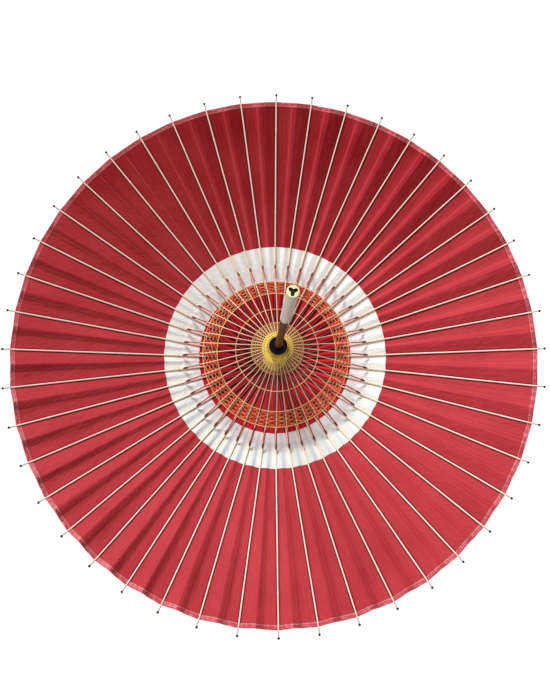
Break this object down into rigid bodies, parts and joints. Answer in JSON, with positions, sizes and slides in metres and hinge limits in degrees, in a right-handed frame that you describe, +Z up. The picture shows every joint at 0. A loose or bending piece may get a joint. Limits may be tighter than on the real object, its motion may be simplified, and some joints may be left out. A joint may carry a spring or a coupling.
{
  "type": "oil paper umbrella",
  "caption": "Folding oil paper umbrella on split bamboo ribs, shown open, with a pale ring in a red canopy, slotted hubs, laced short ribs and a straight handle.",
  "frame": {"origin": "centre of the handle's flat butt end", "axes": "+Z up the shaft towards the top ferrule, +X along the first long rib and towards the catch"},
  "size_m": [1.0632, 1.0632, 0.775],
  "materials": {
    "stained_bamboo": "stained and oiled bamboo, satin",
    "pale_wrap": "pale wound cane strip, matt",
    "end_wood": "bare pale wood, satin",
    "black_lacquer": "black gloss lacquer on wood",
    "hub_wood": "turned wood, matt",
    "rib_bamboo": "split bamboo, oiled",
    "short_rib_bamboo": "split bamboo with thread",
    "red_paper": "red oiled paper, translucent sheen",
    "white_paper": "undyed oiled paper",
    "rim_paper": "red oiled paper folded over a thread",
    "cap_paper": "thick red oiled paper, pleated",
    "cap_cord": "silk cord",
    "catch_brass": "brushed"
  },
  "bodies": {
    "frame": {"shaft": "stained_bamboo", "grip_wrap": "pale_wrap", "butt_cap": "end_wood", "ferrule": "black_lacquer", "top_hub": "hub_wood", "canopy_centre": "red_paper", "canopy_white_ring": "white_paper", "canopy_outer": "red_paper", "rim_strip": "rim_paper", "joint_strip": "white_paper", "cap_paper": "cap_paper", "cap_cord": "cap_cord"},
    "runner": {"runner": "hub_wood", "runner_collar": "black_lacquer", "short_rib_cage": "short_rib_bamboo"},
    "catch": {"catch_spring": "catch_brass"},
    "rib_01": {"long_rib_01": "rib_bamboo"},
    "rib_02": {"long_rib_02": "rib_bamboo"},
    "rib_03": {"long_rib_03": "rib_bamboo"},
    "rib_04": {"long_rib_04": "rib_bamboo"},
    "rib_05": {"long_rib_05": "rib_bamboo"},
    "rib_06": {"long_rib_06": "rib_bamboo"},
    "rib_07": {"long_rib_07": "rib_bamboo"},
    "rib_08": {"long_rib_08": "rib_bamboo"},
    "rib_09": {"long_rib_09": "rib_bamboo"},
    "rib_10": {"long_rib_10": "rib_bamboo"},
    "rib_11": {"long_rib_11": "rib_bamboo"},
    "rib_12": {"long_rib_12": "rib_bamboo"},
    "rib_13": {"long_rib_13": "rib_bamboo"},
    "rib_14": {"long_rib_14": "rib_bamboo"},
    "rib_15": {"long_rib_15": "rib_bamboo"},
    "rib_16": {"long_rib_16": "rib_bamboo"},
    "rib_17": {"long_rib_17": "rib_bamboo"},
    "rib_18": {"long_rib_18": "rib_bamboo"},
    "rib_19": {"long_rib_19": "rib_bamboo"},
    "rib_20": {"long_rib_20": "rib_bamboo"},
    "rib_21": {"long_rib_21": "rib_bamboo"},
    "rib_22": {"long_rib_22": "rib_bamboo"},
    "rib_23": {"long_rib_23": "rib_bamboo"},
    "rib_24": {"long_rib_24": "rib_bamboo"},
    "rib_25": {"long_rib_25": "rib_bamboo"},
    "rib_26": {"long_rib_26": "rib_bamboo"},
    "rib_27": {"long_rib_27": "rib_bamboo"},
    "rib_28": {"long_rib_28": "rib_bamboo"},
    "rib_29": {"long_rib_29": "rib_bamboo"},
    "rib_30": {"long_rib_30": "rib_bamboo"},
    "rib_31": {"long_rib_31": "rib_bamboo"},
    "rib_32": {"long_rib_32": "rib_bamboo"},
    "rib_33": {"long_rib_33": "rib_bamboo"},
    "rib_34": {"long_rib_34": "rib_bamboo"},
    "rib_35": {"long_rib_35": "rib_bamboo"},
    "rib_36": {"long_rib_36": "rib_bamboo"},
    "rib_37": {"long_rib_37": "rib_bamboo"},
    "rib_38": {"long_rib_38": "rib_bamboo"},
    "rib_39": {"long_rib_39": "rib_bamboo"},
    "rib_40": {"long_rib_40": "rib_bamboo"},
    "rib_41": {"long_rib_41": "rib_bamboo"},
    "rib_42": {"long_rib_42": "rib_bamboo"},
    "rib_43": {"long_rib_43": "rib_bamboo"},
    "rib_44": {"long_rib_44": "rib_bamboo"}
  },
  "joints": [
    {"name": "runner_slide", "type": "slide", "parent": "frame", "child": "runner", "axis": [0, 0, -1], "range_m": [0, 0.22], "deforming": ["canopy_centre", "canopy_white_ring", "canopy_outer", "rim_strip", "joint_strip", "cap_paper", "short_rib_cage"]},
    {"name": "catch_press", "type": "slide", "parent": "frame", "child": "catch", "axis": [-1, 0, 0], "range_m": [0, 0.0028], "stiffness_N_per_m": 300, "springref_m": -0.001},
    {"name": "rib_hinge_01", "type": "hinge", "parent": "frame", "child": "rib_01", "pos_m": [0.021, 0, 0.7415], "axis": [0, 1, 0], "range_deg": [0, 69.6]},
    {"name": "rib_hinge_02", "type": "hinge", "parent": "frame", "child": "rib_02", "pos_m": [0.02079, 0.00299, 0.7415], "axis": [-0.1423, 0.9898, 0], "range_deg": [0, 69.6]},
    {"name": "rib_hinge_03", "type": "hinge", "parent": "frame", "child": "rib_03", "pos_m": [0.02015, 0.00592, 0.7415], "axis": [-0.2817, 0.9595, 0], "range_deg": [0, 69.6]},
    {"name": "rib_hinge_04", "type": "hinge", "parent": "frame", "child": "rib_04", "pos_m": [0.0191, 0.00872, 0.7415], "axis": [-0.4154, 0.9096, 0], "range_deg": [0, 69.6]},
    {"name": "rib_hinge_05", "type": "hinge", "parent": "frame", "child": "rib_05", "pos_m": [0.01767, 0.01135, 0.7415], "axis": [-0.5406, 0.8413, 0], "range_deg": [0, 69.6]},
    {"name": "rib_hinge_06", "type": "hinge", "parent": "frame", "child": "rib_06", "pos_m": [0.01587, 0.01375, 0.7415], "axis": [-0.6549, 0.7557, 0], "range_deg": [0, 69.6]},
    {"name": "rib_hinge_07", "type": "hinge", "parent": "frame", "child": "rib_07", "pos_m": [0.01375, 0.01587, 0.7415], "axis": [-0.7557, 0.6549, 0], "range_deg": [0, 69.6]},
    {"name": "rib_hinge_08", "type": "hinge", "parent": "frame", "child": "rib_08", "pos_m": [0.01135, 0.01767, 0.7415], "axis": [-0.8413, 0.5406, 0], "range_deg": [0, 69.6]},
    {"name": "rib_hinge_09", "type": "hinge", "parent": "frame", "child": "rib_09", "pos_m": [0.00872, 0.0191, 0.7415], "axis": [-0.9096, 0.4154, 0], "range_deg": [0, 69.6]},
    {"name": "rib_hinge_10", "type": "hinge", "parent": "frame", "child": "rib_10", "pos_m": [0.00592, 0.02015, 0.7415], "axis": [-0.9595, 0.2817, 0], "range_deg": [0, 69.6]},
    {"name": "rib_hinge_11", "type": "hinge", "parent": "frame", "child": "rib_11", "pos_m": [0.00299, 0.02079, 0.7415], "axis": [-0.9898, 0.1423, 0], "range_deg": [0, 69.6]},
    {"name": "rib_hinge_12", "type": "hinge", "parent": "frame", "child": "rib_12", "pos_m": [0, 0.021, 0.7415], "axis": [-1, 0, 0], "range_deg": [0, 69.6]},
    {"name": "rib_hinge_13", "type": "hinge", "parent": "frame", "child": "rib_13", "pos_m": [-0.00299, 0.02079, 0.7415], "axis": [-0.9898, -0.1423, 0], "range_deg": [0, 69.6]},
    {"name": "rib_hinge_14", "type": "hinge", "parent": "frame", "child": "rib_14", "pos_m": [-0.00592, 0.02015, 0.7415], "axis": [-0.9595, -0.2817, 0], "range_deg": [0, 69.6]},
    {"name": "rib_hinge_15", "type": "hinge", "parent": "frame", "child": "rib_15", "pos_m": [-0.00872, 0.0191, 0.7415], "axis": [-0.9096, -0.4154, 0], "range_deg": [0, 69.6]},
    {"name": "rib_hinge_16", "type": "hinge", "parent": "frame", "child": "rib_16", "pos_m": [-0.01135, 0.01767, 0.7415], "axis": [-0.8413, -0.5406, 0], "range_deg": [0, 69.6]},
    {"name": "rib_hinge_17", "type": "hinge", "parent": "frame", "child": "rib_17", "pos_m": [-0.01375, 0.01587, 0.7415], "axis": [-0.7557, -0.6549, 0], "range_deg": [0, 69.6]},
    {"name": "rib_hinge_18", "type": "hinge", "parent": "frame", "child": "rib_18", "pos_m": [-0.01587, 0.01375, 0.7415], "axis": [-0.6549, -0.7557, 0], "range_deg": [0, 69.6]},
    {"name": "rib_hinge_19", "type": "hinge", "parent": "frame", "child": "rib_19", "pos_m": [-0.01767, 0.01135, 0.7415], "axis": [-0.5406, -0.8413, 0], "range_deg": [0, 69.6]},
    {"name": "rib_hinge_20", "type": "hinge", "parent": "frame", "child": "rib_20", "pos_m": [-0.0191, 0.00872, 0.7415], "axis": [-0.4154, -0.9096, 0], "range_deg": [0, 69.6]},
    {"name": "rib_hinge_21", "type": "hinge", "parent": "frame", "child": "rib_21", "pos_m": [-0.02015, 0.00592, 0.7415], "axis": [-0.2817, -0.9595, 0], "range_deg": [0, 69.6]},
    {"name": "rib_hinge_22", "type": "hinge", "parent": "frame", "child": "rib_22", "pos_m": [-0.02079, 0.00299, 0.7415], "axis": [-0.1423, -0.9898, 0], "range_deg": [0, 69.6]},
    {"name": "rib_hinge_23", "type": "hinge", "parent": "frame", "child": "rib_23", "pos_m": [-0.021, 0, 0.7415], "axis": [0, -1, 0], "range_deg": [0, 69.6]},
    {"name": "rib_hinge_24", "type": "hinge", "parent": "frame", "child": "rib_24", "pos_m": [-0.02079, -0.00299, 0.7415], "axis": [0.1423, -0.9898, 0], "range_deg": [0, 69.6]},
    {"name": "rib_hinge_25", "type": "hinge", "parent": "frame", "child": "rib_25", "pos_m": [-0.02015, -0.00592, 0.7415], "axis": [0.2817, -0.9595, 0], "range_deg": [0, 69.6]},
    {"name": "rib_hinge_26", "type": "hinge", "parent": "frame", "child": "rib_26", "pos_m": [-0.0191, -0.00872, 0.7415], "axis": [0.4154, -0.9096, 0], "range_deg": [0, 69.6]},
    {"name": "rib_hinge_27", "type": "hinge", "parent": "frame", "child": "rib_27", "pos_m": [-0.01767, -0.01135, 0.7415], "axis": [0.5406, -0.8413, 0], "range_deg": [0, 69.6]},
    {"name": "rib_hinge_28", "type": "hinge", "parent": "frame", "child": "rib_28", "pos_m": [-0.01587, -0.01375, 0.7415], "axis": [0.6549, -0.7557, 0], "range_deg": [0, 69.6]},
    {"name": "rib_hinge_29", "type": "hinge", "parent": "frame", "child": "rib_29", "pos_m": [-0.01375, -0.01587, 0.7415], "axis": [0.7557, -0.6549, 0], "range_deg": [0, 69.6]},
    {"name": "rib_hinge_30", "type": "hinge", "parent": "frame", "child": "rib_30", "pos_m": [-0.01135, -0.01767, 0.7415], "axis": [0.8413, -0.5406, 0], "range_deg": [0, 69.6]},
    {"name": "rib_hinge_31", "type": "hinge", "parent": "frame", "child": "rib_31", "pos_m": [-0.00872, -0.0191, 0.7415], "axis": [0.9096, -0.4154, 0], "range_deg": [0, 69.6]},
    {"name": "rib_hinge_32", "type": "hinge", "parent": "frame", "child": "rib_32", "pos_m": [-0.00592, -0.02015, 0.7415], "axis": [0.9595, -0.2817, 0], "range_deg": [0, 69.6]},
    {"name": "rib_hinge_33", "type": "hinge", "parent": "frame", "child": "rib_33", "pos_m": [-0.00299, -0.02079, 0.7415], "axis": [0.9898, -0.1423, 0], "range_deg": [0, 69.6]},
    {"name": "rib_hinge_34", "type": "hinge", "parent": "frame", "child": "rib_34", "pos_m": [0, -0.021, 0.7415], "axis": [1, 0, 0], "range_deg": [0, 69.6]},
    {"name": "rib_hinge_35", "type": "hinge", "parent": "frame", "child": "rib_35", "pos_m": [0.00299, -0.02079, 0.7415], "axis": [0.9898, 0.1423, 0], "range_deg": [0, 69.6]},
    {"name": "rib_hinge_36", "type": "hinge", "parent": "frame", "child": "rib_36", "pos_m": [0.00592, -0.02015, 0.7415], "axis": [0.9595, 0.2817, 0], "range_deg": [0, 69.6]},
    {"name": "rib_hinge_37", "type": "hinge", "parent": "frame", "child": "rib_37", "pos_m": [0.00872, -0.0191, 0.7415], "axis": [0.9096, 0.4154, 0], "range_deg": [0, 69.6]},
    {"name": "rib_hinge_38", "type": "hinge", "parent": "frame", "child": "rib_38", "pos_m": [0.01135, -0.01767, 0.7415], "axis": [0.8413, 0.5406, 0], "range_deg": [0, 69.6]},
    {"name": "rib_hinge_39", "type": "hinge", "parent": "frame", "child": "rib_39", "pos_m": [0.01375, -0.01587, 0.7415], "axis": [0.7557, 0.6549, 0], "range_deg": [0, 69.6]},
    {"name": "rib_hinge_40", "type": "hinge", "parent": "frame", "child": "rib_40", "pos_m": [0.01587, -0.01375, 0.7415], "axis": [0.6549, 0.7557, 0], "range_deg": [0, 69.6]},
    {"name": "rib_hinge_41", "type": "hinge", "parent": "frame", "child": "rib_41", "pos_m": [0.01767, -0.01135, 0.7415], "axis": [0.5406, 0.8413, 0], "range_deg": [0, 69.6]},
    {"name": "rib_hinge_42", "type": "hinge", "parent": "frame", "child": "rib_42", "pos_m": [0.0191, -0.00872, 0.7415], "axis": [0.4154, 0.9096, 0], "range_deg": [0, 69.6]},
    {"name": "rib_hinge_43", "type": "hinge", "parent": "frame", "child": "rib_43", "pos_m": [0.02015, -0.00592, 0.7415], "axis": [0.2817, 0.9595, 0], "range_deg": [0, 69.6]},
    {"name": "rib_hinge_44", "type": "hinge", "parent": "frame", "child": "rib_44", "pos_m": [0.02079, -0.00299, 0.7415], "axis": [0.1423, 0.9898, 0], "range_deg": [0, 69.6]}
  ],
  "couplings": [
    {"joint": "rib_hinge_01", "follows": "runner_slide", "rad_per_m": 5.5089},
    {"joint": "rib_hinge_02", "follows": "runner_slide", "rad_per_m": 5.5089},
    {"joint": "rib_hinge_03", "follows": "runner_slide", "rad_per_m": 5.5089},
    {"joint": "rib_hinge_04", "follows": "runner_slide", "rad_per_m": 5.5089},
    {"joint": "rib_hinge_05", "follows": "runner_slide", "rad_per_m": 5.5089},
    {"joint": "rib_hinge_06", "follows": "runner_slide", "rad_per_m": 5.5089},
    {"joint": "rib_hinge_07", "follows": "runner_slide", "rad_per_m": 5.5089},
    {"joint": "rib_hinge_08", "follows": "runner_slide", "rad_per_m": 5.5089},
    {"joint": "rib_hinge_09", "follows": "runner_slide", "rad_per_m": 5.5089},
    {"joint": "rib_hinge_10", "follows": "runner_slide", "rad_per_m": 5.5089},
    {"joint": "rib_hinge_11", "follows": "runner_slide", "rad_per_m": 5.5089},
    {"joint": "rib_hinge_12", "follows": "runner_slide", "rad_per_m": 5.5089},
    {"joint": "rib_hinge_13", "follows": "runner_slide", "rad_per_m": 5.5089},
    {"joint": "rib_hinge_14", "follows": "runner_slide", "rad_per_m": 5.5089},
    {"joint": "rib_hinge_15", "follows": "runner_slide", "rad_per_m": 5.5089},
    {"joint": "rib_hinge_16", "follows": "runner_slide", "rad_per_m": 5.5089},
    {"joint": "rib_hinge_17", "follows": "runner_slide", "rad_per_m": 5.5089},
    {"joint": "rib_hinge_18", "follows": "runner_slide", "rad_per_m": 5.5089},
    {"joint": "rib_hinge_19", "follows": "runner_slide", "rad_per_m": 5.5089},
    {"joint": "rib_hinge_20", "follows": "runner_slide", "rad_per_m": 5.5089},
    {"joint": "rib_hinge_21", "follows": "runner_slide", "rad_per_m": 5.5089},
    {"joint": "rib_hinge_22", "follows": "runner_slide", "rad_per_m": 5.5089},
    {"joint": "rib_hinge_23", "follows": "runner_slide", "rad_per_m": 5.5089},
    {"joint": "rib_hinge_24", "follows": "runner_slide", "rad_per_m": 5.5089},
    {"joint": "rib_hinge_25", "follows": "runner_slide", "rad_per_m": 5.5089},
    {"joint": "rib_hinge_26", "follows": "runner_slide", "rad_per_m": 5.5089},
    {"joint": "rib_hinge_27", "follows": "runner_slide", "rad_per_m": 5.5089},
    {"joint": "rib_hinge_28", "follows": "runner_slide", "rad_per_m": 5.5089},
    {"joint": "rib_hinge_29", "follows": "runner_slide", "rad_per_m": 5.5089},
    {"joint": "rib_hinge_30", "follows": "runner_slide", "rad_per_m": 5.5089},
    {"joint": "rib_hinge_31", "follows": "runner_slide", "rad_per_m": 5.5089},
    {"joint": "rib_hinge_32", "follows": "runner_slide", "rad_per_m": 5.5089},
    {"joint": "rib_hinge_33", "follows": "runner_slide", "rad_per_m": 5.5089},
    {"joint": "rib_hinge_34", "follows": "runner_slide", "rad_per_m": 5.5089},
    {"joint": "rib_hinge_35", "follows": "runner_slide", "rad_per_m": 5.5089},
    {"joint": "rib_hinge_36", "follows": "runner_slide", "rad_per_m": 5.5089},
    {"joint": "rib_hinge_37", "follows": "runner_slide", "rad_per_m": 5.5089},
    {"joint": "rib_hinge_38", "follows": "runner_slide", "rad_per_m": 5.5089},
    {"joint": "rib_hinge_39", "follows": "runner_slide", "rad_per_m": 5.5089},
    {"joint": "rib_hinge_40", "follows": "runner_slide", "rad_per_m": 5.5089},
    {"joint": "rib_hinge_41", "follows": "runner_slide", "rad_per_m": 5.5089},
    {"joint": "rib_hinge_42", "follows": "runner_slide", "rad_per_m": 5.5089},
    {"joint": "rib_hinge_43", "follows": "runner_slide", "rad_per_m": 5.5089},
    {"joint": "rib_hinge_44", "follows": "runner_slide", "rad_per_m": 5.5089}
  ]
}
